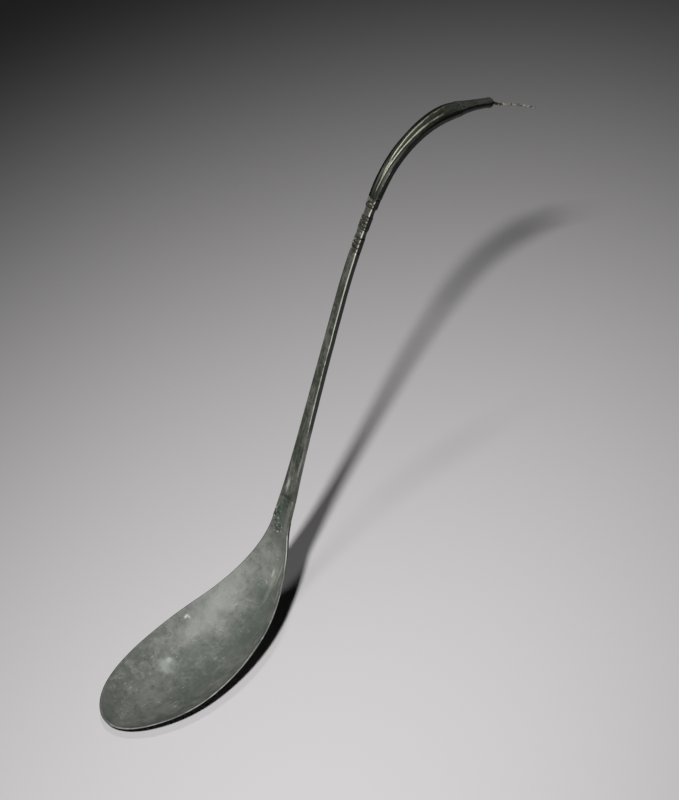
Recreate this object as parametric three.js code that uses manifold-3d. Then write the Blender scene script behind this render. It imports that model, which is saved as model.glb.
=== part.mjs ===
// A long-handled bronze spoon. A raised leaf-shaped bowl runs back into a narrow neck, and a
// forged rod is soldered on the neck: a flat strap, a faceted shank, and a core that curves over.
// Rings bind the rod below a bundle of strands, and a tapered sheath holds the strands' far ends.
// Millimetres, +Z up. X runs from the bowl's tip towards the handle. The spoon is symmetrical
// about the plane Y = 0, and the bowl rests on a small flat whose centre is the origin.

import * as THREE from 'three';
import { mergeVertices } from 'three/addons/utils/BufferGeometryUtils.js';
import Module from 'manifold-3d';

const wasm = await Module();
wasm.setup();

// Clearance between pieces that touch
const gap = 0.3;

// The side line: the rim seen from the side, and then the middle of the rod. It is a chain of
// arcs, each with its length and the degrees that it turns up (+) or down (-).
const tipHeading = 14.2;
const bowlFront = { length: 13, turn: -10.9 };
const bowlBack = { length: 42.5, turn: 14.5 };
const neckSweep = { length: 31.2, turn: 53.4 };
const shankRun = { length: 87.7, turn: -1.2 };
const crookRise = { length: 38.1, turn: -12.4 };
const crookTop = { length: 38.2, turn: -71.2 };
const crookFall = { length: 44.6, turn: -21.8 };

// Bowl
const bowlHalfWidth = 17.4;
const widestPoint = 32.6;
const bowlTaper = 72;
const taperFullness = 1.1;
const neckHalfWidth = 2.5;
const bowlDepth = 8;
const deepestPoint = 42;
const bowlWall = 0.9;
const lipWidth = 0.7;
const dishPower = 2.4;
const restFlatDepth = 0.3;

// Lap joint on the neck. The seam lies just past the end of the neck's sweep.
const neckEnd = bowlFront.length + bowlBack.length + neckSweep.length;
const seamPastNeck = 1.9;
const seam = neckEnd + seamPastNeck;
const rimRunOut = 0.6;
const tongueThickness = 0.65;
const tongueLength = 11;
const tongueInset = 0.3;
const beadLength = 0.8;

// Strap and shank. The strap is thin where it laps over the tongue. Past the tongue's end the rod
// has its full depth, and its back is flush with the tongue's.
const strapHalfWidth = 4.12;
const strapThickness = 0.8;
const strapFlare = 23;
const shankHalfWidth = 1.45;
const shankThickness = 2.4;
const shankFront = 0.8;
const thickeningLength = 40;
const shankSquareness = 10;
const channelDepth = 0.25;
const channelLength = 10;
const ridgeHeight = 0.18;
const ridgeLength = 26;

// Collar. It starts a little way up the rise that follows the straight shank. Its bands have the
// shank's section, and stand a little proud of it. The spools between them are a little thinner.
const collarPastShank = 16.7;
const collarStart = neckEnd + shankRun.length + collarPastShank;
const bandThickness = 0.35;
const spoolWaist = 0.1;
const lowerRings = { name: 'lower_ring', count: 3, pitch: 1.6, proud: 0.05 };
const lowerSpool = 2.6;
const middleRings = { name: 'middle_ring', count: 4, pitch: 1.1, proud: 0.08 };
const upperSpool = 2.7;
const upperRings = { name: 'upper_ring', count: 2, pitch: 1.55, proud: 0.24 };
const ringRounding = 0.14;

// Bundle of ridged strands round a thin core
const strandCount = 9;
const coreRadius = 0.5;
const strandRidge = 0.24;
const bundleFootRadius = 2.2;
const bundleSwellRadius = 2.34;
const swellLength = 4.5;
const bundleFullRadius = 2.85;
const fullPoint = 38.5;
const bundleMouthRadius = 2.6;
const bundleLength = 43.6;
const tuckRadius = 1.4;
const tuckLength = 3.6;
const tuckShoulder = 0.4;

// End sheath and bare tip
const sheathLength = 15.4;
const sheathEndRadius = 1.63;
const sheathFlare = 2.6;
const sheathLip = 0.12;
const sheathLipLength = 1.1;
const tipRadius = 0.38;
const tipPinch = 0.1;
const tipPinchCount = 3;
const tipDroop = 0.9;
const tipDroopLength = 6;

// Fineness of the faceted surfaces
const bowlColumns = 12;
const bowlFrontSteps = 12;
const bowlStep = 3.4;
const rodSides = 16;
const rodStep = 4.2;
const strandStep = 2.7;
const sheathSteps = 6;
const tipStep = 1.2;

// Side line

const runs = [bowlFront, bowlBack, neckSweep, shankRun, crookRise, crookTop, crookFall];
const fullLength = runs.reduce((sum, run) => sum + run.length, 0);
const straightTurn = 1e-6;

// Place and heading on the side line at a distance from the bowl's tip
function along(distance) {
  let heading = THREE.MathUtils.degToRad(tipHeading);
  let x = 0;
  let z = 0;
  let left = distance;
  for (const run of runs) {
    const isLast = run === runs.at(-1);
    const used = isLast ? left : Math.min(left, run.length);
    const turned = (THREE.MathUtils.degToRad(run.turn) * used) / run.length;
    const chord = Math.abs(turned) < straightTurn ? used : (used * Math.sin(turned / 2)) / (turned / 2);
    x += chord * Math.cos(heading + turned / 2);
    z += chord * Math.sin(heading + turned / 2);
    heading += turned;
    left -= used;
    if (left <= 0) break;
  }
  return { x, z, heading };
}

// Smooth step from 0 to 1
function ease(share) {
  const t = THREE.MathUtils.clamp(share, 0, 1);
  return t * t * (3 - 2 * t);
}

// Cosine fall from 1 to 0
function fall(share) {
  return (1 + Math.cos(Math.PI * THREE.MathUtils.clamp(share, 0, 1))) / 2;
}

// Bowl outline and depth

function rimHalfWidth(distance) {
  if (distance <= widestPoint) {
    return bowlHalfWidth * Math.sqrt(1 - (1 - distance / widestPoint) ** 2);
  }
  const share = ((distance - widestPoint) / bowlTaper) ** taperFullness;
  return neckHalfWidth + (bowlHalfWidth - neckHalfWidth) * fall(share);
}

const tongueFront = strapThickness / 2 + gap;
const neckDepth = tongueFront + tongueThickness;

function outerDepth(distance) {
  if (distance <= deepestPoint) {
    return bowlDepth * Math.sqrt(1 - (1 - distance / deepestPoint) ** 2);
  }
  return neckDepth + (bowlDepth - neckDepth) * fall((distance - deepestPoint) / (seam - deepestPoint));
}

function innerDepth(distance) {
  const wall = THREE.MathUtils.lerp(bowlWall, tongueThickness, ease(distance / seam));
  return Math.max(outerDepth(distance) - wall, 0);
}

// The lowest point of the underside sets the origin
const lowest = { x: 0, z: Infinity };
const scanStep = 0.25;
for (let distance = 0; distance < seam; distance += scanStep) {
  const place = along(distance);
  const depth = outerDepth(distance);
  const z = place.z - depth * Math.cos(place.heading);
  if (z < lowest.z) {
    lowest.x = place.x + depth * Math.sin(place.heading);
    lowest.z = z;
  }
}
const originX = lowest.x;
const originZ = lowest.z + restFlatDepth;

// A point beside the side line: rise is measured square to the line, y across it
function beside(distance, rise, y) {
  const place = along(distance);
  return new THREE.Vector3(
    place.x - rise * Math.sin(place.heading) - originX,
    y,
    place.z + rise * Math.cos(place.heading) - originZ,
  );
}

// Solids from triangles

function turnOutwards(geometry) {
  const at = geometry.getAttribute('position');
  const index = Array.from(geometry.getIndex().array);
  const corners = [new THREE.Vector3(), new THREE.Vector3(), new THREE.Vector3()];
  let volume = 0;
  for (let i = 0; i < index.length; i += 3) {
    corners.forEach((corner, j) => corner.fromBufferAttribute(at, index[i + j]));
    volume += corners[0].dot(corners[1].clone().cross(corners[2]));
  }
  if (volume < 0) index.reverse();
  geometry.setIndex(index);
  return geometry;
}

function solid(points, triangles) {
  const raw = new THREE.BufferGeometry().setFromPoints(points);
  raw.setIndex(triangles);
  const merged = mergeVertices(raw);
  const index = merged.getIndex().array;
  const kept = [];
  for (let i = 0; i < index.length; i += 3) {
    const [a, b, c] = index.slice(i, i + 3);
    if (a !== b && b !== c && c !== a) kept.push(a, b, c);
  }
  merged.setIndex(kept);
  return turnOutwards(merged);
}

// A skin over a row of loops of equal count, capped at both ends, or joined into a ring
function loft(loops, joined = false) {
  const count = loops[0].length;
  const points = loops.flat();
  const triangles = [];
  const spans = joined ? loops.length : loops.length - 1;
  for (let i = 0; i < spans; i += 1) {
    const here = i * count;
    const next = ((i + 1) % loops.length) * count;
    for (let k = 0; k < count; k += 1) {
      const l = (k + 1) % count;
      triangles.push(here + k, here + l, next + l, here + k, next + l, next + k);
    }
  }
  if (joined) return solid(points, triangles);
  for (const last of [false, true]) {
    const loop = last ? loops.at(-1) : loops[0];
    const start = last ? (loops.length - 1) * count : 0;
    const middle = loop.reduce((sum, point) => sum.add(point), new THREE.Vector3());
    points.push(middle.divideScalar(count));
    for (let k = 0; k < count; k += 1) {
      const l = (k + 1) % count;
      const pair = last ? [start + k, start + l] : [start + l, start + k];
      triangles.push(points.length - 1, ...pair);
    }
  }
  return solid(points, triangles);
}

function toManifold(geometry) {
  const bare = geometry.clone();
  bare.deleteAttribute('normal');
  bare.deleteAttribute('uv');
  const merged = mergeVertices(bare);
  return new wasm.Manifold(new wasm.Mesh({
    numProp: 3,
    vertProperties: new Float32Array(merged.getAttribute('position').array),
    triVerts: new Uint32Array(merged.getIndex().array),
  }));
}

function fromManifold(body) {
  const mesh = body.getMesh();
  const geometry = new THREE.BufferGeometry();
  geometry.setAttribute('position', new THREE.BufferAttribute(mesh.vertProperties, mesh.numProp));
  geometry.setIndex(Array.from(mesh.triVerts));
  return geometry;
}

// Evenly spread distances from one place to another, both ends included
function spread(from, to, step) {
  const count = Math.max(1, Math.round((to - from) / step));
  return Array.from({ length: count + 1 }, (_, i) => from + ((to - from) * i) / count);
}

// Bowl

// One cross-row of the bowl's sheet. Where dish is 0 the row is flat, as on the tongue.
function sheetRow(distance, halfWidth, depth, dish) {
  const row = [];
  for (let k = 0; k <= bowlColumns; k += 1) {
    const across = Math.sin(Math.PI * (k / bowlColumns - 0.5));
    const rise = -depth * (1 - dish * Math.abs(across) ** dishPower);
    row.push(beside(distance, rise, halfWidth * across));
  }
  return row;
}

// The outline's inner edge lies one lip width inside the outer one, square to it
function innerEdge(distance) {
  const nudge = 0.01;
  const from = Math.max(distance - nudge, 0);
  const slope = new THREE.Vector2(
    distance + nudge - from,
    rimHalfWidth(distance + nudge) - rimHalfWidth(from),
  ).normalize();
  return {
    distance: distance + lipWidth * slope.y,
    halfWidth: Math.max(rimHalfWidth(distance) - lipWidth * slope.x, 0),
  };
}

function makeBowl() {
  const outer = [];
  const inner = [];
  const frontSteps = Array.from(
    { length: bowlFrontSteps },
    (_, i) => widestPoint * (1 - Math.cos((Math.PI / 2) * (i / bowlFrontSteps))),
  );
  for (const distance of [...frontSteps, ...spread(widestPoint, seam, bowlStep)]) {
    const edge = distance === 0 ? { distance: lipWidth, halfWidth: 0 } : innerEdge(distance);
    outer.push(sheetRow(distance, rimHalfWidth(distance), outerDepth(distance), 1));
    inner.push(sheetRow(edge.distance, edge.halfWidth, innerDepth(distance), 1));
  }
  for (const distance of spread(seam + rimRunOut, tongueEnd, bowlStep)) {
    const halfWidth = strapHalfWidthAt(distance) - tongueInset;
    outer.push(sheetRow(distance, halfWidth, neckDepth, 0));
    inner.push(sheetRow(distance, halfWidth, tongueFront, 0));
  }
  const count = bowlColumns + 1;
  const rows = outer.length;
  const points = [...outer.flat(), ...inner.flat()];
  const out = (i, k) => i * count + k;
  const inn = (i, k) => (rows + i) * count + k;
  const triangles = [];
  const quad = (a, b, c, d) => triangles.push(a, b, c, a, c, d);
  for (let i = 0; i < rows - 1; i += 1) {
    for (let k = 0; k < bowlColumns; k += 1) {
      quad(out(i, k), out(i, k + 1), out(i + 1, k + 1), out(i + 1, k));
      quad(inn(i, k), inn(i + 1, k), inn(i + 1, k + 1), inn(i, k + 1));
    }
    quad(out(i, 0), out(i + 1, 0), inn(i + 1, 0), inn(i, 0));
    quad(out(i, bowlColumns), inn(i, bowlColumns), inn(i + 1, bowlColumns), out(i + 1, bowlColumns));
  }
  for (let k = 0; k < bowlColumns; k += 1) {
    quad(out(rows - 1, k), out(rows - 1, k + 1), inn(rows - 1, k + 1), inn(rows - 1, k));
  }
  const sheet = toManifold(solid(points, triangles));
  const under = new THREE.BoxGeometry(4 * bowlTaper, 4 * bowlHalfWidth, 2 * bowlDepth);
  under.translate(0, 0, -bowlDepth);
  return fromManifold(sheet.subtract(toManifold(under)));
}

// Rod: strap, shank, collar seats, core and bare tip

const strapStart = seam + rimRunOut + gap + beadLength + gap;
const tongueEnd = strapStart + tongueLength;

function strapHalfWidthAt(distance) {
  return shankHalfWidth + (strapHalfWidth - shankHalfWidth) * Math.exp((strapStart - distance) / strapFlare);
}

// The rod's front face and back, past the lap, measured square to the side line
function rodFaces(distance) {
  const share = ease((distance - tongueEnd) / thickeningLength);
  return {
    front: THREE.MathUtils.lerp(strapThickness / 2, shankFront, share),
    back: THREE.MathUtils.lerp(-neckDepth, shankFront - shankThickness, share),
  };
}

// On the shank and above it the rod's middle lies a little behind the side line
const rodMiddle = shankFront - shankThickness / 2;

// Height of the strap's front middle line: a shallow channel first, and then a low ridge
function crownAt(distance) {
  const inChannel = (distance - strapStart) / channelLength;
  const onRidge = (distance - strapStart - channelLength) / ridgeLength;
  if (inChannel < 1) return -channelDepth * Math.sin(Math.PI * Math.max(inChannel, 0));
  return onRidge < 1 ? ridgeHeight * Math.sin(Math.PI * onRidge) : 0;
}

// A loop round the rod, between a front and a back. A squareness of 2 is an ellipse, and more is
// nearer a rectangle.
function rodLoop(distance, halfWidth, front, back, squareness, crown = 0) {
  const middle = (front + back) / 2;
  const halfThickness = (front - back) / 2;
  const loop = [];
  for (let k = 0; k < rodSides; k += 1) {
    const angle = (2 * Math.PI * k) / rodSides;
    const c = Math.cos(angle);
    const s = Math.sin(angle);
    const isFront = k === rodSides / 4;
    const y = halfWidth * Math.sign(c) * Math.abs(c) ** (2 / squareness);
    const rise = middle + halfThickness * Math.sign(s) * Math.abs(s) ** (2 / squareness);
    loop.push(beside(distance, rise + (isFront ? crown : 0), y));
  }
  return loop;
}

function roundLoop(distance, radius, droop = 0) {
  const middle = rodMiddle - droop;
  return rodLoop(distance, radius, middle + radius, middle - radius, 2);
}

// The shank's section, made larger all round by an amount, or smaller by a negative one
function shankLoop(distance, growth) {
  const front = shankFront + growth;
  const back = shankFront - shankThickness - growth;
  return rodLoop(distance, shankHalfWidth + growth, front, back, shankSquareness);
}

// The collar's groups of rings, from the shank up, and the spools between them
const groupLength = (rings) => gap + rings.count * rings.pitch;
const lowerStart = collarStart;
const lowerSpoolStart = lowerStart + groupLength(lowerRings);
const middleStart = lowerSpoolStart + lowerSpool;
const upperSpoolStart = middleStart + groupLength(middleRings);
const upperStart = upperSpoolStart + upperSpool;
const collarEnd = upperStart + groupLength(upperRings);
const ringGroups = [
  { rings: lowerRings, start: lowerStart },
  { rings: middleRings, start: middleStart },
  { rings: upperRings, start: upperStart },
];

// The bundle's outer radius, and what it leaves for one strand and for the core
const bundleStart = collarEnd + gap;
const mouth = bundleStart + bundleLength;
const tuckEnd = mouth + tuckShoulder + tuckLength;

function bundleRadiusAt(distance) {
  const fromFoot = distance - bundleStart;
  if (distance >= mouth + tuckShoulder) return tuckRadius;
  if (distance > mouth) {
    return THREE.MathUtils.lerp(bundleMouthRadius, tuckRadius, (distance - mouth) / tuckShoulder);
  }
  if (fromFoot < swellLength) {
    return THREE.MathUtils.lerp(bundleFootRadius, bundleSwellRadius, ease(fromFoot / swellLength));
  }
  if (fromFoot < fullPoint) {
    const share = ease((fromFoot - swellLength) / (fullPoint - swellLength));
    return THREE.MathUtils.lerp(bundleSwellRadius, bundleFullRadius, share);
  }
  const share = ease((fromFoot - fullPoint) / (bundleLength - fullPoint));
  return THREE.MathUtils.lerp(bundleFullRadius, bundleMouthRadius, share);
}

const sheathStart = mouth + tuckShoulder + gap;
const sheathEnd = sheathStart + sheathLength;

const bundlePlaces = [
  ...spread(bundleStart, mouth, strandStep),
  mouth + tuckShoulder,
  ...spread(mouth + tuckShoulder, tuckEnd, strandStep).slice(1),
];

function spoolLoops(start, length) {
  return [0, 0.5, 1].map((share) => {
    const growth = -spoolWaist * Math.sin(Math.PI * share);
    return shankLoop(start + share * length, growth);
  });
}

// Between its bands the rod is cut back to a seat
function seatLoops(start, end, rings) {
  const growth = rings.proud - bandThickness - gap;
  return [shankLoop(start, growth), shankLoop(end, growth)];
}

function strapLoop(distance, front, back) {
  const halfWidth = strapHalfWidthAt(distance);
  return rodLoop(distance, halfWidth, front, back, shankSquareness, crownAt(distance));
}

function makeRod() {
  const loops = [];
  const notch = tongueEnd + gap;
  for (const distance of spread(strapStart, notch, rodStep)) {
    loops.push(strapLoop(distance, strapThickness / 2, -strapThickness / 2));
  }
  for (const distance of spread(notch, collarStart, rodStep)) {
    const { front, back } = rodFaces(distance);
    loops.push(strapLoop(distance, front, back));
  }
  loops.push(
    ...seatLoops(lowerStart, lowerSpoolStart, lowerRings),
    ...spoolLoops(lowerSpoolStart, lowerSpool),
    ...seatLoops(middleStart, upperSpoolStart, middleRings),
    ...spoolLoops(upperSpoolStart, upperSpool),
    ...seatLoops(upperStart, collarEnd, upperRings),
  );
  for (const distance of spread(collarEnd, sheathEnd, strandStep)) {
    loops.push(roundLoop(distance, coreRadius));
  }
  const tipStart = sheathEnd + gap;
  for (const distance of spread(tipStart, fullLength, tipStep)) {
    const share = (distance - tipStart) / (fullLength - tipStart);
    const pinch = tipPinch * Math.abs(Math.sin(Math.PI * tipPinchCount * share));
    const radius = THREE.MathUtils.lerp(coreRadius, tipRadius, share) - pinch;
    loops.push(roundLoop(distance, radius, tipDroop * ease((distance - tipStart) / tipDroopLength)));
  }
  return loft(loops);
}

function makeSolderBead() {
  const start = seam + rimRunOut + gap;
  const places = [start, start + beadLength];
  const face = strapThickness / 2;
  return loft(places.map((distance) => rodLoop(distance, strapHalfWidth, face, -face, shankSquareness)));
}

// One ring of a collar group: a flat band with the shank's section and rounded outer edges
function makeRing(rings, middle) {
  const half = (rings.pitch - gap) / 2;
  const inside = rings.proud - bandThickness;
  const round = Math.min(ringRounding, bandThickness / 2, half / 2);
  const profile = [
    [-half, inside],
    [-half, rings.proud - round],
    [round - half, rings.proud],
    [half - round, rings.proud],
    [half, rings.proud - round],
    [half, inside],
  ];
  return loft(profile.map(([place, growth]) => shankLoop(middle + place, growth)), true);
}

// One strand of the bundle, at its own angle round the core. Its section is a slice of the bundle
// with a low ridge outside, and gaps that keep it clear of the core and of the strands beside it.
function makeStrand(angle) {
  const slice = Math.PI / strandCount;
  const inside = coreRadius + gap;
  const halfAngle = (radius) => slice - Math.asin(gap / 2 / radius);
  return loft(bundlePlaces.map((distance) => {
    const crest = bundleRadiusAt(distance);
    const shoulder = crest - strandRidge;
    const section = [
      [crest, 0],
      [shoulder, halfAngle(shoulder)],
      [inside, halfAngle(inside)],
      [inside, -halfAngle(inside)],
      [shoulder, -halfAngle(shoulder)],
    ];
    return section.map(([radius, turn]) => {
      const rise = rodMiddle + radius * Math.cos(angle + turn);
      return beside(distance, rise, radius * Math.sin(angle + turn));
    });
  }));
}

// Tapered sheath: a wide bore takes the strands' ends, and a narrow one passes the core
function makeSheath() {
  const wideBore = tuckRadius + gap;
  const narrowBore = coreRadius + gap;
  const stepPlace = tuckEnd + gap;
  const lipStart = 1 - sheathLipLength / sheathLength;
  const lipMiddle = (lipStart + 1) / 2;
  const place = (share) => sheathStart + share * sheathLength;
  const widening = bundleMouthRadius - sheathEndRadius;
  const outside = (share) => sheathEndRadius + widening * (1 - share) ** sheathFlare;
  const loops = spread(0, lipStart, 1 / sheathSteps).map((share) => roundLoop(place(share), outside(share)));
  loops.push(
    roundLoop(place(lipMiddle), outside(lipMiddle) + sheathLip),
    roundLoop(sheathEnd, outside(1)),
    roundLoop(sheathEnd, narrowBore),
    ...spread(stepPlace, sheathEnd, rodStep).reverse().slice(1).map((d) => roundLoop(d, narrowBore)),
    roundLoop(stepPlace, wideBore),
    roundLoop(sheathStart, wideBore),
  );
  return loft(loops, true);
}

// Materials: old bronze, grey-green where it is dull and olive-black where it is worn smooth

function bronze(color, roughness, metalness) {
  return new THREE.MeshStandardMaterial({ color, roughness, metalness });
}

const sheetPatina = () => bronze(0x687068, 0.55, 0.55);
const rodPatina = () => bronze(0x43463c, 0.4, 0.75);
const strandPatina = () => bronze(0x3e4034, 0.35, 0.8);
const sheathPatina = () => bronze(0x4c4e4b, 0.5, 0.6);
const solderPatina = () => bronze(0x5c6259, 0.6, 0.5);

// Assembly

const spoon = new THREE.Group();

function addPiece(name, geometry, material) {
  const mesh = new THREE.Mesh(geometry, material);
  mesh.name = name;
  spoon.add(mesh);
  return mesh;
}

addPiece('bowl', makeBowl(), sheetPatina());
addPiece('solder_bead', makeSolderBead(), solderPatina());
addPiece('handle_rod', makeRod(), rodPatina());

for (const { rings, start } of ringGroups) {
  for (let i = 0; i < rings.count; i += 1) {
    const middle = start + gap + (i + 0.5) * rings.pitch - gap / 2;
    addPiece(`${rings.name}_${i + 1}`, makeRing(rings, middle), rodPatina());
  }
}

for (let i = 0; i < strandCount; i += 1) {
  addPiece(`strand_${i + 1}`, makeStrand((2 * Math.PI * i) / strandCount), strandPatina());
}

addPiece('end_sheath', makeSheath(), sheathPatina());

export default spoon;
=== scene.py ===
"""A long-handled bronze spoon with its patina, standing on a plain graded floor."""
import math

import bmesh
import bpy
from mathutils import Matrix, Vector, noise


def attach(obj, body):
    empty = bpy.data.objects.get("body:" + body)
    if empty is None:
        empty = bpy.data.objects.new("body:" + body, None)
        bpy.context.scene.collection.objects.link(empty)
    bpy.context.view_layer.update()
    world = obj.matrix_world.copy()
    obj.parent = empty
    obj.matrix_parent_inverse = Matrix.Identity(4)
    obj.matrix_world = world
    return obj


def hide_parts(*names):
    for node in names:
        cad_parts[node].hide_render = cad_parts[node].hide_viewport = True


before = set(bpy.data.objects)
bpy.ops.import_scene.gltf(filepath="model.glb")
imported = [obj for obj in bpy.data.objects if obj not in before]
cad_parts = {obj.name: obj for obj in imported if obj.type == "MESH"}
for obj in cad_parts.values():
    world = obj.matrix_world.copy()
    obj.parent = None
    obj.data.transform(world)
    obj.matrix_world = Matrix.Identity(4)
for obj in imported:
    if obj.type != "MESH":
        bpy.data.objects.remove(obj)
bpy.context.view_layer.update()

MM = 0.001

# The spoon's own sizes, in millimetres, as in the part's source

GAP = 0.3
TIP_HEADING = 14.2
BOWL_FRONT = (13.0, -10.9)
BOWL_BACK = (42.5, 14.5)
NECK_SWEEP = (31.2, 53.4)
SHANK_RUN = (87.7, -1.2)
CROOK_RISE = (38.1, -12.4)
CROOK_TOP = (38.2, -71.2)
CROOK_FALL = (44.6, -21.8)
RUNS = (BOWL_FRONT, BOWL_BACK, NECK_SWEEP, SHANK_RUN, CROOK_RISE, CROOK_TOP, CROOK_FALL)
FULL_LENGTH = sum(length for length, _ in RUNS)
NECK_END = BOWL_FRONT[0] + BOWL_BACK[0] + NECK_SWEEP[0]

BOWL_HALF_WIDTH = 17.4
WIDEST_POINT = 32.6
BOWL_TAPER = 72.0
TAPER_FULLNESS = 1.1
NECK_HALF_WIDTH = 2.5
BOWL_DEPTH = 8.0
DEEPEST_POINT = 42.0
BOWL_WALL = 0.9
LIP_WIDTH = 0.7
DISH_POWER = 2.4
REST_FLAT_DEPTH = 0.3

SEAM = NECK_END + 1.9
RIM_RUN_OUT = 0.6
TONGUE_THICKNESS = 0.65
TONGUE_LENGTH = 11.0
BEAD_LENGTH = 0.8
STRAP_START = SEAM + RIM_RUN_OUT + GAP + BEAD_LENGTH + GAP
TONGUE_END = STRAP_START + TONGUE_LENGTH

STRAP_HALF_WIDTH = 4.12
STRAP_THICKNESS = 0.8
STRAP_FLARE = 23.0
SHANK_HALF_WIDTH = 1.45
SHANK_THICKNESS = 2.4
SHANK_FRONT = 0.8
THICKENING_LENGTH = 40.0
CHANNEL_LENGTH = 10.0
RIDGE_HEIGHT = 0.18
RIDGE_LENGTH = 26.0
ROD_MIDDLE = SHANK_FRONT - SHANK_THICKNESS / 2

COLLAR_START = NECK_END + SHANK_RUN[0] + 16.7
BAND_THICKNESS = 0.35
SPOOL_WAIST = 0.1
LOWER_SPOOL = 2.6
UPPER_SPOOL = 2.7
LOWER_RINGS = {"name": "lower_ring", "count": 3, "pitch": 1.6, "proud": 0.05, "rubbed": 0.8}
MIDDLE_RINGS = {"name": "middle_ring", "count": 4, "pitch": 1.1, "proud": 0.08, "rubbed": 0.4}
UPPER_RINGS = {"name": "upper_ring", "count": 2, "pitch": 1.55, "proud": 0.24, "rubbed": 0.55}

STRAND_COUNT = 9
CORE_RADIUS = 0.5
STRAND_RIDGE = 0.24
BUNDLE_FOOT_RADIUS = 2.2
BUNDLE_SWELL_RADIUS = 2.34
SWELL_LENGTH = 4.5
BUNDLE_FULL_RADIUS = 2.85
FULL_POINT = 38.5
BUNDLE_MOUTH_RADIUS = 2.6
BUNDLE_LENGTH = 43.6
TUCK_RADIUS = 1.4
TUCK_LENGTH = 3.6
TUCK_SHOULDER = 0.4

SHEATH_LENGTH = 15.4
SHEATH_END_RADIUS = 1.63
SHEATH_FLARE = 2.6
SHEATH_LIP = 0.12
SHEATH_LIP_LENGTH = 1.1
TIP_RADIUS = 0.38
TIP_DROOP = 0.9
TIP_DROOP_LENGTH = 6.0


def group_length(rings):
    return GAP + rings["count"] * rings["pitch"]


LOWER_SPOOL_START = COLLAR_START + group_length(LOWER_RINGS)
MIDDLE_START = LOWER_SPOOL_START + LOWER_SPOOL
UPPER_SPOOL_START = MIDDLE_START + group_length(MIDDLE_RINGS)
UPPER_START = UPPER_SPOOL_START + UPPER_SPOOL
COLLAR_END = UPPER_START + group_length(UPPER_RINGS)
BUNDLE_START = COLLAR_END + GAP
MOUTH = BUNDLE_START + BUNDLE_LENGTH
TUCK_END = MOUTH + TUCK_SHOULDER + TUCK_LENGTH
SHEATH_START = MOUTH + TUCK_SHOULDER + GAP
SHEATH_END = SHEATH_START + SHEATH_LENGTH


# The side line, and the forms that follow it

STRAIGHT = 1e-7


def along(distance):
    """Place and heading on the side line, at a distance from the bowl's tip."""
    heading = math.radians(TIP_HEADING)
    x = 0.0
    z = 0.0
    left = distance
    for number, (length, turn) in enumerate(RUNS):
        used = left if number == len(RUNS) - 1 else min(left, length)
        half = math.radians(turn) * used / length / 2
        chord = used if abs(half) < STRAIGHT else used * math.sin(half) / half
        x += chord * math.cos(heading + half)
        z += chord * math.sin(heading + half)
        heading += 2 * half
        left -= used
        if left <= 0:
            break
    return x, z, heading


def lerp(low, high, share):
    return low + (high - low) * share


def clamp(share):
    return min(max(share, 0.0), 1.0)


def ease(share):
    t = clamp(share)
    return t * t * (3 - 2 * t)


def past(distance, start, length):
    """0 up to a start, 1 from a length further on, and eased between.

    Where something changes along the spoon, the two are kept together as (start, length).
    """
    return ease((distance - start) / length)


def fall(share):
    return (1 + math.cos(math.pi * clamp(share))) / 2


def rim_half_width(distance):
    if distance <= WIDEST_POINT:
        return BOWL_HALF_WIDTH * math.sqrt(max(1 - (1 - distance / WIDEST_POINT) ** 2, 0))
    share = ((distance - WIDEST_POINT) / BOWL_TAPER) ** TAPER_FULLNESS
    return NECK_HALF_WIDTH + (BOWL_HALF_WIDTH - NECK_HALF_WIDTH) * fall(share)


TONGUE_FRONT = STRAP_THICKNESS / 2 + GAP
NECK_DEPTH = TONGUE_FRONT + TONGUE_THICKNESS


def outer_depth(distance):
    if distance <= DEEPEST_POINT:
        return BOWL_DEPTH * math.sqrt(max(1 - (1 - distance / DEEPEST_POINT) ** 2, 0))
    share = (distance - DEEPEST_POINT) / (SEAM - DEEPEST_POINT)
    return NECK_DEPTH + (BOWL_DEPTH - NECK_DEPTH) * fall(share)


def inner_depth(distance):
    wall = lerp(BOWL_WALL, TONGUE_THICKNESS, ease(distance / SEAM))
    return max(outer_depth(distance) - wall, 0)


def lowest_point():
    """The lowest point of the bowl's underside, which sets the origin."""
    best = (0.0, math.inf)
    step = 0.25
    for number in range(int(SEAM / step)):
        distance = number * step
        x, z, heading = along(distance)
        depth = outer_depth(distance)
        low = z - depth * math.cos(heading)
        if low < best[1]:
            best = (x + depth * math.sin(heading), low)
    return best


ORIGIN_X, LOWEST_Z = lowest_point()
ORIGIN_Z = LOWEST_Z + REST_FLAT_DEPTH


def beside(distance, rise, y):
    """A point beside the side line, in millimetres: rise is square to the line, y across it."""
    x, z, heading = along(distance)
    return Vector((
        x - rise * math.sin(heading) - ORIGIN_X,
        y,
        z + rise * math.cos(heading) - ORIGIN_Z,
    ))


def strap_half_width(distance):
    flare = math.exp((STRAP_START - distance) / STRAP_FLARE)
    return SHANK_HALF_WIDTH + (STRAP_HALF_WIDTH - SHANK_HALF_WIDTH) * flare


def rod_front(distance):
    return lerp(STRAP_THICKNESS / 2, SHANK_FRONT, past(distance, TONGUE_END, THICKENING_LENGTH))


def rod_back(distance):
    """The rise of the rod's back, and before the rod's full depth begins, of the tongue's."""
    share = past(distance, TONGUE_END, THICKENING_LENGTH)
    return lerp(-NECK_DEPTH, SHANK_FRONT - SHANK_THICKNESS, share)


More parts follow.
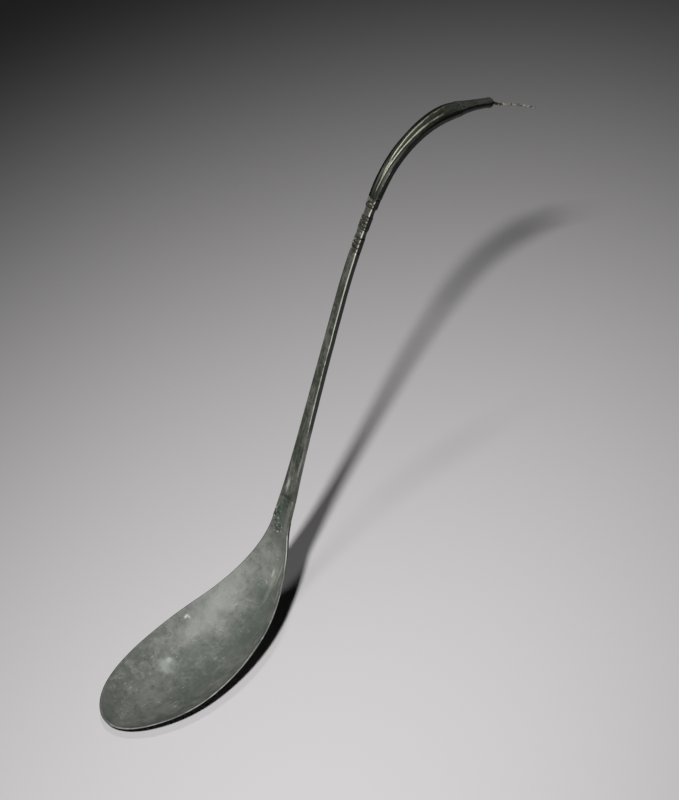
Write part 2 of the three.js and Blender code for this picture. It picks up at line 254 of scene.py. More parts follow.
def bundle_radius(distance):
    from_foot = distance - BUNDLE_START
    if distance >= MOUTH + TUCK_SHOULDER:
        return TUCK_RADIUS
    if distance > MOUTH:
        return lerp(BUNDLE_MOUTH_RADIUS, TUCK_RADIUS, (distance - MOUTH) / TUCK_SHOULDER)
    if from_foot < SWELL_LENGTH:
        return lerp(BUNDLE_FOOT_RADIUS, BUNDLE_SWELL_RADIUS, ease(from_foot / SWELL_LENGTH))
    if from_foot < FULL_POINT:
        share = past(from_foot, SWELL_LENGTH, FULL_POINT - SWELL_LENGTH)
        return lerp(BUNDLE_SWELL_RADIUS, BUNDLE_FULL_RADIUS, share)
    share = past(from_foot, FULL_POINT, BUNDLE_LENGTH - FULL_POINT)
    return lerp(BUNDLE_FULL_RADIUS, BUNDLE_MOUTH_RADIUS, share)


def spread(start, end, step):
    count = max(1, round((end - start) / step))
    return [lerp(start, end, number / count) for number in range(count + 1)]


def columns(count):
    """Shares from -1 to 1 across a sheet, closer together towards its edges."""
    return [math.sin(math.pi * (k / count - 0.5)) for k in range(count + 1)]


SEED_DIRECTION = (1.0, 0.37, -0.61)


def bumps(place, size, seed):
    """Smooth noise between about -1 and 1, with features of the given size in millimetres."""
    return noise.noise(place / size + Vector([seed * share for share in SEED_DIRECTION]))


def rough(place, *layers):
    """The sum of layers of bumps, each kept as (height, size, seed)."""
    return sum(height * bumps(place, size, seed) for height, size, seed in layers)


# Meshes
#
# Every piece is drawn on the straightened spoon, as loops of spots. A spot is a place in
# millimetres (the distance along the side line, the distance across it, and the rise above it)
# with its wear and its face. Wear is high where the patina is rubbed through, and it also carries
# painted highlights: the bright line on the lit side of the lip, the lit right front arris, the
# collar's glints and the crook's crests that face the lamp. On the solder it is the share of the
# way from the bowl to the strap, and on the bare tip it is below 0. Face is 1 on what looks up or
# forwards, and 0 on the sides, the back and the underside, which the finishes paint near black:
# a darker patina, and painted shade where these turn away from the lamps.

def spot(distance, across, rise, wear=0.0, face=0.0):
    return Vector((distance, across, rise)), wear, face


NO_WIDTH = 1e-7  # in metres, as the mesh is
NO_LENGTH = 1e-8


def skin(name, loops, joined=False):
    """A smooth-shaded mesh over a row of loops of spots, bent along the side line.

    Its ends are closed, except for an end that is a line, or where the last loop joins the first.
    """
    mesh = bmesh.new()
    wear_layer = mesh.verts.layers.float.new("wear")
    face_layer = mesh.verts.layers.float.new("face")
    lie_layer = mesh.verts.layers.float_vector.new("lie")

    def add(place, wear, face):
        point = beside(place.x, place.z, place.y)
        point.z = max(point.z, 0.0)
        vertex = mesh.verts.new(point * MM)
        vertex[lie_layer] = place * MM
        vertex[wear_layer] = wear
        vertex[face_layer] = face
        return vertex

    rows = [[add(*one) for one in loop] for loop in loops]
    count = len(rows[0])
    pairs = list(zip(rows, rows[1:]))
    if joined:
        pairs.append((rows[-1], rows[0]))
    else:
        for row in (rows[0], rows[-1]):
            if max(abs(vertex.co.y) for vertex in row) < NO_WIDTH:
                continue
            for k in range((count - 1) // 2):
                mesh.faces.new(dict.fromkeys((row[k], row[k + 1], row[-2 - k], row[-1 - k])))
    for here, there in pairs:
        for k in range(count):
            following = (k + 1) % count
            mesh.faces.new((here[k], here[following], there[following], there[k]))
    bmesh.ops.remove_doubles(mesh, verts=mesh.verts, dist=NO_WIDTH)
    bmesh.ops.dissolve_degenerate(mesh, edges=mesh.edges, dist=NO_LENGTH)
    bmesh.ops.recalc_face_normals(mesh, faces=mesh.faces)
    for face in mesh.faces:
        face.smooth = True
    data = bpy.data.meshes.new(name)
    mesh.to_mesh(data)
    mesh.free()
    piece = bpy.data.objects.new(name, data)
    bpy.context.scene.collection.objects.link(piece)
    return piece


def finish_piece(piece, material, slot, *nodes):
    piece.data.materials.append(material)
    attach(piece, "root")
    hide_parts(*nodes)


# Neck, where the bowl's rim runs out along the strap's edges

NECK_BLEND = (85.0, 10.0)
NECK_WALL = (76.0, 12.0)
NECK_WALL_POWER = 9.0
NECK_WALL_SHARE = 0.05
RIM_END = 96.0
RIM_TUCK = 0.3
RIM_TUCK_LENGTH = 2.0
EDGE_DEPTH = 0.1
HULL_LENGTH = 14.0


def neck_half_width(distance):
    """The half-width of the rim and of the strap, run into one line at the neck."""
    share = past(distance, *NECK_BLEND)
    return lerp(rim_half_width(distance), strap_half_width(distance), share)


def rim_line(distance):
    """The rim's half-width. It dives under the strap's edge where it ends."""
    dive = past(distance, RIM_END - RIM_TUCK_LENGTH, RIM_TUCK_LENGTH)
    return neck_half_width(distance) - RIM_TUCK * dive


def walled(distance):
    """0 on the bowl, and 1 on the neck, whose sides stand up steeply."""
    return past(distance, *NECK_WALL)


def wall_power(distance):
    return lerp(DISH_POWER, NECK_WALL_POWER, walled(distance))


def hull(distance, across, back):
    """The rounded underside, thin at its edges, which turns into the shank's flat back."""
    edge = lerp(-EDGE_DEPTH, rod_back(distance), past(distance, SEAM, HULL_LENGTH))
    return edge + (back - edge) * (1 - abs(across) ** wall_power(distance))


# Bowl

SHEET_COLUMNS = 44
FRONT_ROWS = 46
BACK_STEP = 0.9
HAMMER_MARKS = ((0.08, 13.0, 3.0), (0.03, 4.5, 8.0))
HAMMER_EDGE_POWER = 6
HAMMER_TIP_LENGTH = 6.0
GROOVE_WIDTH = 0.5
GROOVE_SHADE = 0.8
TONGUE_UNDERCUT = 0.4

LIP_COLUMNS = 7
LIP_SHARES = [k / (LIP_COLUMNS + 1) for k in range(1, LIP_COLUMNS + 1)]
LIP_RISE = 0.16
LIP_ROUNDNESS = 0.7
LIP_BUMPS = (0.5, 2.0, 9.0)
LIP_FACES = (1.6, 4.0)

LIT_SIDE_SHARE = 0.42
WORN_LIT_LINE = (0.3, 0.85)
WORN_LIT_LINE_CROSSES = (34.0, 20.0)
WORN_LIT_LINE_RETURN = 0.4
WORN_LIT_LINE_RETURNS = (76.0, 8.0)
WORN_LIT_NARROWNESS = (3.6, 1.9)
WORN_LIT_BREAKS = ((0.8, 7.0, 4.0), (0.7, 2.2, 14.0))
UNBROKEN_SHARE = 0.5
BROKEN_WEAR = 0.3
NECK_LIP_START = (74.0, 8.0)
NECK_LIP_END = (89.0, 3.0)


def hammered(place):
    """How far the raised sheet departs from its true surface."""
    return rough(place, *HAMMER_MARKS)


def bowl_rise(depth, across, power=DISH_POWER):
    return -depth * (1 - abs(across) ** power)


def sheet_row(distance, half_width, depth, inside):
    """One cross-row of the bowl's sheet, with a line of painted shade along the right where it
    meets the lip.
    """
    power = DISH_POWER if inside else wall_power(distance)
    row = []
    for across in columns(SHEET_COLUMNS):
        calm = (1 - abs(across) ** HAMMER_EDGE_POWER) * clamp(distance / HAMMER_TIP_LENGTH)
        place = Vector((distance, half_width * across, 0.0))
        rise = bowl_rise(depth, across, power) + calm * hammered(place)
        if not inside:
            stretched = across * (1 + NECK_WALL_SHARE * walled(distance))
            place.y = half_width * min(max(stretched, -1.0), 1.0)
        # No groove is modelled here: a thin line of painted shade darkens the sheet next to the
        # lip, on the lit side only.
        from_edge = clamp((1 - abs(across)) * half_width / GROOVE_WIDTH)
        painted_groove_shade = lit_side(place) * (1 - from_edge)
        # The outer sheet is the underside: it gets face 0, and so painted shade.
        face = 1 - GROOVE_SHADE * painted_groove_shade if inside else 0.0
        row.append(spot(distance, place.y, rise, 0.0, face))
    return row


def lit_side(place):
    """1 on the side of the bowl that faces the lamp, where the lip is painted bright, 0 on the
    other.
    """
    return ease(LIT_SIDE_SHARE - place.y / rim_half_width(max(place.x, WIDEST_POINT)))


def inner_edge(distance):
    """The outline's inner edge, one lip width inside the outer one and square to it."""
    if distance == 0:
        return LIP_WIDTH, 0.0
    nudge = 0.01
    before = max(distance - nudge, 0)
    slope = Vector((distance + nudge - before, rim_line(distance + nudge) - rim_line(before)))
    slope.normalize()
    return distance + LIP_WIDTH * slope.y, max(rim_line(distance) - LIP_WIDTH * slope.x, 0.0)


def lip(outer, inner):
    """The rounded lip from its outer edge to its inner one.

    A line along it on the lit side is painted bright, as bare metal and highlight, and is broken in
    places. The lip's outer part is painted dark as shade, more widely on the side away from the
    lamp.
    """
    worn_lit_share = lerp(*WORN_LIT_LINE, past(outer.x, *WORN_LIT_LINE_CROSSES))
    worn_lit_share -= WORN_LIT_LINE_RETURN * past(outer.x, *WORN_LIT_LINE_RETURNS)
    row = []
    for share in LIP_SHARES:
        place = outer.lerp(inner, share)
        right = lit_side(place)
        arch = math.sin(math.pi * share) ** LIP_ROUNDNESS
        place.z += LIP_RISE * arch * (1 + rough(place, LIP_BUMPS))
        unbroken = clamp(UNBROKEN_SHARE + rough(place, *WORN_LIT_BREAKS))
        near_neck = past(place.x, *NECK_LIP_START) * (1 - past(place.x, *NECK_LIP_END))
        # The line is worn metal and painted highlight, on the lit side only; the face paints the
        # outer part as shade.
        wear = clamp(1 - abs(share - worn_lit_share) * lerp(*WORN_LIT_NARROWNESS, near_neck))
        wear *= lerp(BROKEN_WEAR, 1.0, max(unbroken, near_neck)) * right
        row.append((place, wear, clamp(share * lerp(*LIP_FACES, right))))
    return row


def bowl_loop(distance):
    edge_distance, edge_half_width = inner_edge(distance)
    outer = sheet_row(distance, rim_line(distance), outer_depth(distance), False)
    inner = sheet_row(edge_distance, edge_half_width, inner_depth(distance), True)
    first = lip(outer[-1][0], inner[-1][0])
    last = lip(outer[0][0], inner[0][0])
    return outer + first + inner[::-1] + last[::-1]


def tongue_loop(distance):
    """The tongue under the strap, whose underside runs on from the bowl's."""
    half_width = strap_half_width(distance) - TONGUE_UNDERCUT
    low = []
    high = []
    for across in columns(SHEET_COLUMNS):
        low.append(spot(distance, half_width * across, hull(distance, across, -NECK_DEPTH)))
        high.append(spot(distance, half_width * across, -EDGE_DEPTH))
    first = [(low[-1][0].lerp(high[-1][0], share), 0.0, 0.0) for share in LIP_SHARES]
    last = [(low[0][0].lerp(high[0][0], share), 0.0, 0.0) for share in LIP_SHARES]
    return low + first + high[::-1] + last[::-1]


def make_bowl():
    front = [
        WIDEST_POINT * (1 - math.cos(math.pi / 2 * row / FRONT_ROWS)) for row in range(FRONT_ROWS)
    ]
    back = spread(WIDEST_POINT, RIM_END, BACK_STEP)
    tongue = spread(RIM_END + BACK_STEP, TONGUE_END, BACK_STEP)
    loops = [bowl_loop(distance) for distance in front + back]
    loops += [tongue_loop(distance) for distance in tongue]
    return skin("bowl_sheet", loops)


# Strap and shank

ROD_SIDES = 64
ROD_ANGLES = [2 * math.pi * (k + 0.5) / ROD_SIDES for k in range(ROD_SIDES)]
ROD_STEP = 0.7
ROD_BUMPS = ((0.04, 6.0, 1.0), (0.02, 1.6, 5.0))
FRONT_BUMPS_SHARE = 0.8
SQUARENESS = 9.0

CHANNEL_DEPTH = 0.34
CHANNEL_FOOT_SHARE = 0.35
FEATHER_EDGE = 0.1
FEATHER_LEAD = 0.6
FEATHER_LENGTH = 9.0
FOOT_LEAD = 0.35
FOOT_DROP = 0.3
FOOT_DROP_LENGTH = 4.0
FOOT_TUCK = 0.4
FOOT_TUCK_LENGTH = 3.2
PIT_PLACE = 94.0
PIT_LENGTH = 5.0
PIT_SIDE = (0.35, 3.0)
PIT_BUMPS = (0.25, 1.0, 2.0)
PIT_DEPTH = 0.1

ARRIS_SHARPNESS = 7
ARRIS_WEAR_AND_GLINT = (0.66, 1.15)
ARRIS_WEAR_AND_GLINT_STARTS = (110.0, 25.0)
ARRIS_WEAR_AND_GLINT_GROWS = (150.0, 35.0)
DARK_SIDES = (118.0, 16.0)
STRAP_FACE = (-1.0, 2.0)
SHANK_FACE = (0.6, 3.0)
COLLAR_FACE = (0.5, 2.5)
COLLAR_DENTS = (1.2, 3.0)
COLLAR_FRONT_RUB = 0.2
COLLAR_ARRIS_RUB_AND_GLINT = 1.3


def arris(across, up):
    """1 on the section's right front corner, the lit one, where wear and a painted highlight go,
    and 0 away from it.
    """
    corner = 0.5 ** (2 / SQUARENESS)
    return clamp(-across * up / corner) ** ARRIS_SHARPNESS if up > 0 and across < 0 else 0.0


def squared(wave):
    return math.copysign(abs(wave) ** (2 / SQUARENESS), wave)


def section():
    """Places round a squarish section, as pairs that run from -1 to 1."""
    return [(squared(math.cos(angle)), squared(math.sin(angle))) for angle in ROD_ANGLES]


def steeply(place, start, steepness):
    """0 up to a start, and steeply from there to 1."""
    return clamp((place - start) * steepness)


def crown(distance):
    """Height of the strap's front middle: a shallow channel first, and then a low ridge."""
    in_channel = (distance - STRAP_START) / CHANNEL_LENGTH
    on_ridge = (distance - STRAP_START - CHANNEL_LENGTH) / RIDGE_LENGTH
    if in_channel < 1:
        reach = lerp(CHANNEL_FOOT_SHARE, 1.0, max(in_channel, 0))
        return -CHANNEL_DEPTH * math.sin(math.pi * reach)
    return RIDGE_HEIGHT * math.sin(math.pi * on_ridge) if on_ridge < 1 else 0.0


def feather(distance):
    """How much of its full thickness the strap has over the neck."""
    return lerp(FEATHER_EDGE, 1.0, past(distance, STRAP_START - FEATHER_LEAD, FEATHER_LENGTH))


def pitting(distance, across):
    """Where the strap's foot is eaten away along one edge."""
    return clamp(1 - abs(distance - PIT_PLACE) / PIT_LENGTH) * steeply(across, *PIT_SIDE)


def foot_drop(distance):
    """How far the strap's foot is sunk in the solder."""
    return FOOT_DROP * (1 - past(distance, STRAP_START, FOOT_DROP_LENGTH))


def strap_front(distance, across):
    """The rise of the strap's front, from the feathered foot to the flat face of the shank."""
    crowned = crown(distance) * math.cos(math.pi / 2 * across) ** 2
    return rod_front(distance) * feather(distance) + crowned


def strap_width(distance):
    """The strap's half-width. Its foot starts inside the bowl's lip."""
    tuck = FOOT_TUCK * (1 - past(distance, STRAP_START, FOOT_TUCK_LENGTH))
    return neck_half_width(distance) - tuck


def rod_loop(distance, back):
    """One cross-section of the strap and shank, with its lit arris worn and painted bright, and a
    slightly uneven face.
    """
    half_width = strap_width(distance)
    arris_wear_and_glint = lerp(*ARRIS_WEAR_AND_GLINT, past(distance, *ARRIS_WEAR_AND_GLINT_GROWS))
    arris_wear_and_glint *= past(distance, *ARRIS_WEAR_AND_GLINT_STARTS)
    dark = past(distance, *DARK_SIDES)
    loop = []
    for across, up in section():
        front = strap_front(distance, across) - foot_drop(distance)
        rise = lerp(hull(distance, across, back), front, (up + 1) / 2)
        place = Vector((distance, half_width * across, rise))
        uneven = rough(place, *ROD_BUMPS)
        uneven += pitting(distance, across) * (rough(place, PIT_BUMPS) - PIT_DEPTH)
        place.y -= uneven * across
        if up > 0:
            place.z += uneven * FRONT_BUMPS_SHARE
        face = lerp(steeply(up, *STRAP_FACE), steeply(up, *SHANK_FACE), dark)
        loop.append((place, arris(across, up) * arris_wear_and_glint, face))
    return loop


def shank_loop(distance, growth, wear=0.0, roughness=0.0):
    """The shank's section, made larger all round by an amount, or smaller by a negative one."""
    half_width = SHANK_HALF_WIDTH + growth
    half_height = SHANK_THICKNESS / 2 + growth
    loop = []
    for across, up in section():
        place = Vector((distance, half_width * across, ROD_MIDDLE + half_height * up))
        dent = roughness * bumps(place, *COLLAR_DENTS)
        place.y -= dent * across
        place.z += dent * up
        # On the collar the front is rubbed, and the lit arris gets wear and painted glints.
        rubbed = COLLAR_FRONT_RUB * clamp(up) + COLLAR_ARRIS_RUB_AND_GLINT * arris(across, up)
        loop.append((place, wear * rubbed, steeply(up, *COLLAR_FACE)))
    return loop


# Collar's seats and spools, core and bare tip

SPOOL_STEP = 0.125
SPOOL_WEAR = (0.4, 1.1)
SPOOL_DENTS = 0.05
CORE_STEP = 1.5
BORE_GAP = 0.1

TIP_START = SHEATH_END + BORE_GAP
TIP_END = FULL_LENGTH - 0.1
TIP_STEP = 0.3
TIP_TAPER_POWER = 0.6
TIP_PINCH = 0.05
TIP_KNOTS = 3
TIP_KNOT_PINCH = 0.1
TIP_ROUGHNESS = 0.42
TIP_BUMPS = (0.9, 7.0)
TIP_CRUST = (SHEATH_END + 3.5, 1.5)
ROUND_FACE = 0.35
ROUND_FACE_SLOPE = 0.9


def spool_loops(start, length):
    loops = []
    for share in spread(0, 1, SPOOL_STEP):
        arch = math.sin(math.pi * share)
        wear = lerp(*SPOOL_WEAR, arch)
        loops.append(shank_loop(start + share * length, -SPOOL_WAIST * arch, wear, SPOOL_DENTS))
    return loops


def seat_loops(start, end, rings):
    growth = rings["proud"] - BAND_THICKNESS
    return [shank_loop(start, growth), shank_loop(end, growth)]


def round_loop(distance, radius, droop=0.0, roughness=0.0, wear=0.0):
    loop = []
    for angle in ROD_ANGLES:
        c = math.cos(angle)
        s = math.sin(angle)
        place = Vector((distance, radius * c, radius * s))
        swell = radius * (1 + roughness * bumps(place, *TIP_BUMPS))
        face = clamp(ROUND_FACE + ROUND_FACE_SLOPE * s)
        loop.append(spot(distance, swell * c, ROD_MIDDLE - droop + swell * s, wear, face))
    return loop


def tip_loop(distance):
    """One cross-section of the bare, drooping tip.

    Its wear runs from -1, where it is brown, to -2, where it is corroded to a pale crust.
    """
    share = (distance - TIP_START) / (FULL_LENGTH - TIP_START)
    knot = abs(math.sin(TIP_KNOTS * math.pi * share))
    pinch = TIP_KNOT_PINCH * knot + TIP_PINCH * math.sin(math.pi * share)
    radius = lerp(CORE_RADIUS + BORE_GAP, TIP_RADIUS, share ** TIP_TAPER_POWER) - pinch
    droop = TIP_DROOP * past(distance, TIP_START, TIP_DROOP_LENGTH)
    return round_loop(distance, radius, droop, TIP_ROUGHNESS, -1 - past(distance, *TIP_CRUST))


def make_rod():
    foot = spread(STRAP_START - FOOT_LEAD, TONGUE_END, ROD_STEP)
    shank = spread(TONGUE_END, COLLAR_START, ROD_STEP)
    core = spread(COLLAR_END, SHEATH_END, CORE_STEP)
    tip = spread(TIP_START, TIP_END, TIP_STEP)
    loops = [rod_loop(distance, -STRAP_THICKNESS / 2) for distance in foot]
    loops += [rod_loop(distance, rod_back(distance)) for distance in shank]
    loops += seat_loops(COLLAR_START, LOWER_SPOOL_START, LOWER_RINGS)
    loops += spool_loops(LOWER_SPOOL_START, LOWER_SPOOL)
    loops += seat_loops(MIDDLE_START, UPPER_SPOOL_START, MIDDLE_RINGS)
    loops += spool_loops(UPPER_SPOOL_START, UPPER_SPOOL)
    loops += seat_loops(UPPER_START, COLLAR_END, UPPER_RINGS)
    loops += [round_loop(distance, CORE_RADIUS) for distance in core]
    loops += [tip_loop(distance) for distance in tip]
    return skin("rod", loops)


# Solder over the lap joint

SOLDER_START = 81.0
SOLDER_END = 99.0
SOLDER_STEP = 0.25
SOLDER_COLUMNS = 32
SOLDER_THICKNESS = 0.3
SOLDER_INSETS = (0.95 * LIP_WIDTH, 0.3)
SOLDER_WIDENS = (SEAM - 2, 6.0)
SOLDER_CLIMBS = (SOLDER_START + 3, 8.0)
SOLDER_HEIGHTS = (-0.14, 0.08)
SOLDER_SLANT = 5.5
SOLDER_PROUD = 0.1
SOLDER_FRINGE = 6
SOLDER_FRINGE_BUMPS = (0.5, 1.8, 6.0)
SOLDER_LUMPS = (0.05, 1.3, 4.0)
SOLDER_EDGE_POWER = 8
SOLDER_EDGE_DROP = 0.04
HAMMER_FADES = (SEAM, 4.0)


def calm_hammer(place, across):
    """The sheet's hammer marks as they show through the solder, up to the seam."""
    calm = 1 - abs(across) ** HAMMER_EDGE_POWER
    return calm * hammered(place) * (1 - past(place.x, *HAMMER_FADES))


def make_solder():
    """A thin skin that carries the bowl's floor up into the strap's channel."""
    loops = []
    for distance in spread(SOLDER_START, SOLDER_END, SOLDER_STEP):
        share = (distance - SOLDER_START) / (SOLDER_END - SOLDER_START)
        inset = lerp(*SOLDER_INSETS, past(distance, *SOLDER_WIDENS))
        half_width = neck_half_width(distance) - inset
        depth = inner_depth(min(distance, SEAM))
        height = lerp(*SOLDER_HEIGHTS, (distance - SOLDER_START) / SOLDER_SLANT)
        top = []
        for across in columns(SOLDER_COLUMNS):
            place = Vector((distance, half_width * across, 0.0))
            strap = strap_front(distance, across)
            rise = lerp(bowl_rise(depth, across), strap, past(distance, *SOLDER_CLIMBS))
            fringe = ease((1 - share) * SOLDER_FRINGE + rough(place, SOLDER_FRINGE_BUMPS))
            raised = min(height, SOLDER_PROUD) * fringe
            lump = rough(place, SOLDER_LUMPS) * math.sin(math.pi * share) ** 2
            middle = 1 - across ** SOLDER_EDGE_POWER
            rise += (raised + lump) * middle - SOLDER_EDGE_DROP * (1 - middle)
            rise += calm_hammer(place, across)
            top.append(spot(distance, place.y, rise, share, 1.0))
        under = [
            spot(place.x, place.y, place.z - SOLDER_THICKNESS, share) for place, _, _ in top[::-1]
        ]
        loops.append(top + under)
    return skin("neck_solder", loops)


# Rings

RING_PROFILE_STEPS = 11
RING_ROUNDING = 0.22
RING_ROUNDING_POWER = 2.4
RING_OVERLAP = 0.01
RING_BORE_SHARE = 0.9
RING_DENTS = 0.06
RING_FRONT = 0.6
RING_LEFT = 0.9
RING_EDGE_SHADE = 0.7
RING_WANDER = 0.09
RING_WANDER_SIZE = 2.4
RING_WANDER_SEED = 11.0
RING_SKEW = 0.1
LEFT_RUB = (0.1, 0.7)
LEFT_RUB_SHARE = 0.5
LEFT_RUB_SPREAD = 3.0
LEFT_RUB_BUMPS = (1.1, 17.0)


def make_ring(rings, number, start):
    """One binding ring: a band with the shank's section, rounded where it shows in front."""
    middle = start + GAP + (number + 0.5) * rings["pitch"] - GAP / 2
    half = rings["pitch"] / 2 + RING_OVERLAP
    proud = rings["proud"]
    loops = []
    for share in spread(-1, 1, 2 / RING_PROFILE_STEPS):
        drop = (1 - (1 - abs(share) ** RING_ROUNDING_POWER) ** 0.5) * RING_ROUNDING
        full = shank_loop(middle + half * share, proud, 1.0, RING_DENTS)
        low = shank_loop(middle + half * share, proud - drop, 1.0, RING_DENTS)
        crest = rings["rubbed"] * (1 - share ** 2)
        # Face falls towards each ring's edges, so the gaps between rings are painted dark as shade.
        shade = 1 - RING_EDGE_SHADE * share ** 4
        loop = []
        for (across, up), (outer, _, face), (inner, wear, _) in zip(section(), full, low):
            place = outer.lerp(inner, clamp(RING_FRONT + up) * clamp(RING_LEFT + across))
            rub_place = Vector((place.x, LEFT_RUB_SPREAD * across, 0.0))
            left = past(across, *LEFT_RUB) * (LEFT_RUB_SHARE + bumps(rub_place, *LEFT_RUB_BUMPS))
            wander = RING_WANDER * bumps(place, RING_WANDER_SIZE, number + RING_WANDER_SEED)
            place.x += wander + RING_SKEW * place.y / SHANK_HALF_WIDTH
            # The crest's wear carries glints painted on the lit arris; face paints the sides black
            # as patina and shade.
            loop.append((place, crest * (wear + left * clamp(up)), face * shade))
        loops.append(loop)
    inside = proud - BAND_THICKNESS + GAP / 3
    for share in (RING_BORE_SHARE, -RING_BORE_SHARE):
        loops.append(shank_loop(middle + half * share, inside))
    return skin(f"{rings['name']}_band_{number + 1}", loops, joined=True)


# Strands

STRAND_STEP = 0.8
STRAND_OVERLAP = 0.2
STRAND_SLICE = math.pi / STRAND_COUNT
STRAND_SEAM = 0.02
STRAND_ROOT = 0.55
STRAND_LEAST_DEPTH = 0.5
STRAND_BUMPS = (0.03, 1.4, 6.0)
TUCK_STEP = 1.2
SWAY = (0.06, 9.0, 2.0)
SWAY_SPACING = 4.0
FLANK_STEPS = 7
FLANK_POWER = 0.7
FADED_RIDGE = 0.35
RIDGE_FADES = (238.0, 18.0)

FAN_GATHER = 0.72
FAN_GATHER_ENDS = (214.0, 24.0)
FAN_OPENING = 0.3
FAN_OPENS = (236.0, 14.0)
FAN_POWER = 1.25
FOOT_TURN = math.radians(6)
FOOT_TURN_ENDS = (218.0, 20.0)

LAMP_SIDE_TURN = math.radians(-20)
FACE_NARROWNESS = 1.6
LIT_CREST_NARROWNESS = 2.2
CREST_WEAR_AND_HIGHLIGHT = 1.12
CREST_NARROWNESS = 1.7
WORN_FROM = {0: 219.0, 1: 230.0}
WORN_FROM_ELSEWHERE = 209.0
WORN_EASE = 6.0
WEAR_LOSS = 0.5
WEAR_LESSENS = (230.0, 22.0)
SHOULDER_PLACE = 219.5
SHOULDER_LENGTH = 4.5
SHOULDER_TURN = 0.24


def ridge_drop(share):
    """How far a strand's flank lies below its crest, at a share of the way to the next strand."""
    return share ** FLANK_POWER


def half_slice(radius):
    """Half the turn that a strand takes up, less its share of the seam."""
    return STRAND_SLICE - math.asin(STRAND_SEAM / radius)


def near_lamp_side(turn, narrowness):
    """1 at the turn that faces the lamp, where crests are painted brightest and faces lightest, and
    less to both sides of it.
    """
    return clamp(1 - narrowness * (1 - math.cos(turn - LAMP_SIDE_TURN)))


def looks_up(turn):
    """How much a place on the crook looks up and towards the lamp; away from it, it is painted dark
    as shade. Turn is measured from the top.
    """
    return near_lamp_side(turn, FACE_NARROWNESS)


def fanned(turn, distance):
    """A strand's turn. The strands are gathered towards the front at the foot, and fan out."""
    turn = math.remainder(turn, 2 * math.pi)
    gather = FAN_GATHER * (1 - past(distance, *FAN_GATHER_ENDS))
    gather -= FAN_OPENING * past(distance, *FAN_OPENS)
    foot = FOOT_TURN * (1 - past(distance, *FOOT_TURN_ENDS))
    return turn * (1 - gather * ((1 + math.cos(turn)) / 2) ** FAN_POWER) - foot


def painted_shoulder_highlight(turn, distance):
    """A broad highlight painted on the bundle's shoulder, where it faces the lamp."""
    round_it = math.remainder(turn - LAMP_SIDE_TURN, 2 * math.pi) / SHOULDER_TURN
    along_it = (distance - SHOULDER_PLACE) / SHOULDER_LENGTH
    return math.exp(-(round_it ** 2 + along_it ** 2))


def crook_spot(distance, radius, turn, wear=0.0, face=0.0):
    """A spot on the crook, at a radius and at a turn from the top."""
    across = radius * math.sin(turn)
    return spot(distance, across, ROD_MIDDLE + radius * math.cos(turn), wear, face)


def make_strand(number):
    """One strand of the bundle: a slice with a sharp ridge between two hollow flanks."""
    base = 2 * math.pi * number / STRAND_COUNT
    worn_from = WORN_FROM.get(number, WORN_FROM_ELSEWHERE)
    places = spread(BUNDLE_START - STRAND_OVERLAP, MOUTH + STRAND_OVERLAP, STRAND_STEP)
    places += spread(MOUTH + TUCK_SHOULDER, TUCK_END, TUCK_STEP)
    loops = []
    for distance in places:
        crest = bundle_radius(distance)
        ridge = STRAND_RIDGE * lerp(1.0, FADED_RIDGE, past(distance, *RIDGE_FADES))
        sway = rough(Vector((distance, SWAY_SPACING * number, 0)), SWAY)
        kept = 1 - WEAR_LOSS * past(distance, *WEAR_LESSENS)
        loop = []
        for k in range(-FLANK_STEPS, FLANK_STEPS + 1):
            share = k / FLANK_STEPS
            radius = crest - ridge * ridge_drop(abs(share))
            round_it = radius * (base + share * STRAND_SLICE)
            radius += rough(Vector((distance, round_it, number)), STRAND_BUMPS)
            turn = base + sway * (1 - abs(share)) + share * half_slice(radius)
            turn = fanned(turn, distance)
            # Crest wear is bare metal and a painted highlight, strongest on the crests that face
            # the lamp.
            wear = clamp(CREST_WEAR_AND_HIGHLIGHT - CREST_NARROWNESS * abs(share)) * kept
            wear *= near_lamp_side(turn, LIT_CREST_NARROWNESS) * past(distance, worn_from, WORN_EASE)
            # The shoulder's broad highlight is painted in through the wear.
            wear = max(wear, painted_shoulder_highlight(turn, distance))
            loop.append(crook_spot(distance, radius, turn, wear, looks_up(turn)))
        root = min(STRAND_ROOT * crest, crest - STRAND_LEAST_DEPTH)
        for share in (1, -1):
            turn = fanned(base + share * half_slice(root), distance)
            loop.append(crook_spot(distance, root, turn))
        loops.append(loop)
    return skin(f"strand_rod_{number + 1}", loops)


# Sheath

SHEATH_STEP = 0.02
SHEATH_BUMPS = (0.04, 1.6, 6.0)
SHEATH_FLUTE = 0.35 * STRAND_RIDGE
SHEATH_FLUTE_END = 0.7
SHEATH_CREST_NARROWNESS = 2.4
SHEATH_COVER = 0.03
SHEATH_MOUTH_LEAD = 1.6
SHEATH_MOUTH_SINK = 0.35


def sheath_radius(share):
    widening = BUNDLE_MOUTH_RADIUS - SHEATH_END_RADIUS
    radius = SHEATH_END_RADIUS + widening * (1 - share) ** SHEATH_FLARE
    lip_share = (share - 1) * SHEATH_LENGTH / SHEATH_LIP_LENGTH + 1
    return radius + (SHEATH_LIP * math.sin(math.pi * lip_share) if lip_share > 0 else 0)


def sheath_loop(distance, radius, flute):
    """A loop round the sheath, whose wide end takes up the strands' ridges."""
    loop = []
    count = STRAND_COUNT * 2 * FLANK_STEPS
    for k in range(count):
        turn = 2 * math.pi * k / count
        share = abs((turn / STRAND_SLICE + 1) % 2 - 1)
        place = Vector((distance, radius * math.cos(turn), radius * math.sin(turn)))
        here = radius - flute * ridge_drop(share) + rough(place, SHEATH_BUMPS)
        # Away from the lamp the sheath is painted dark as shade; the flute crests get wear and a
        # painted highlight.
        face = looks_up(turn)
        wear = clamp(1 - SHEATH_CREST_NARROWNESS * share) * face * clamp(flute / STRAND_RIDGE)
        loop.append(crook_spot(distance, here, turn, wear, face))
    return loop


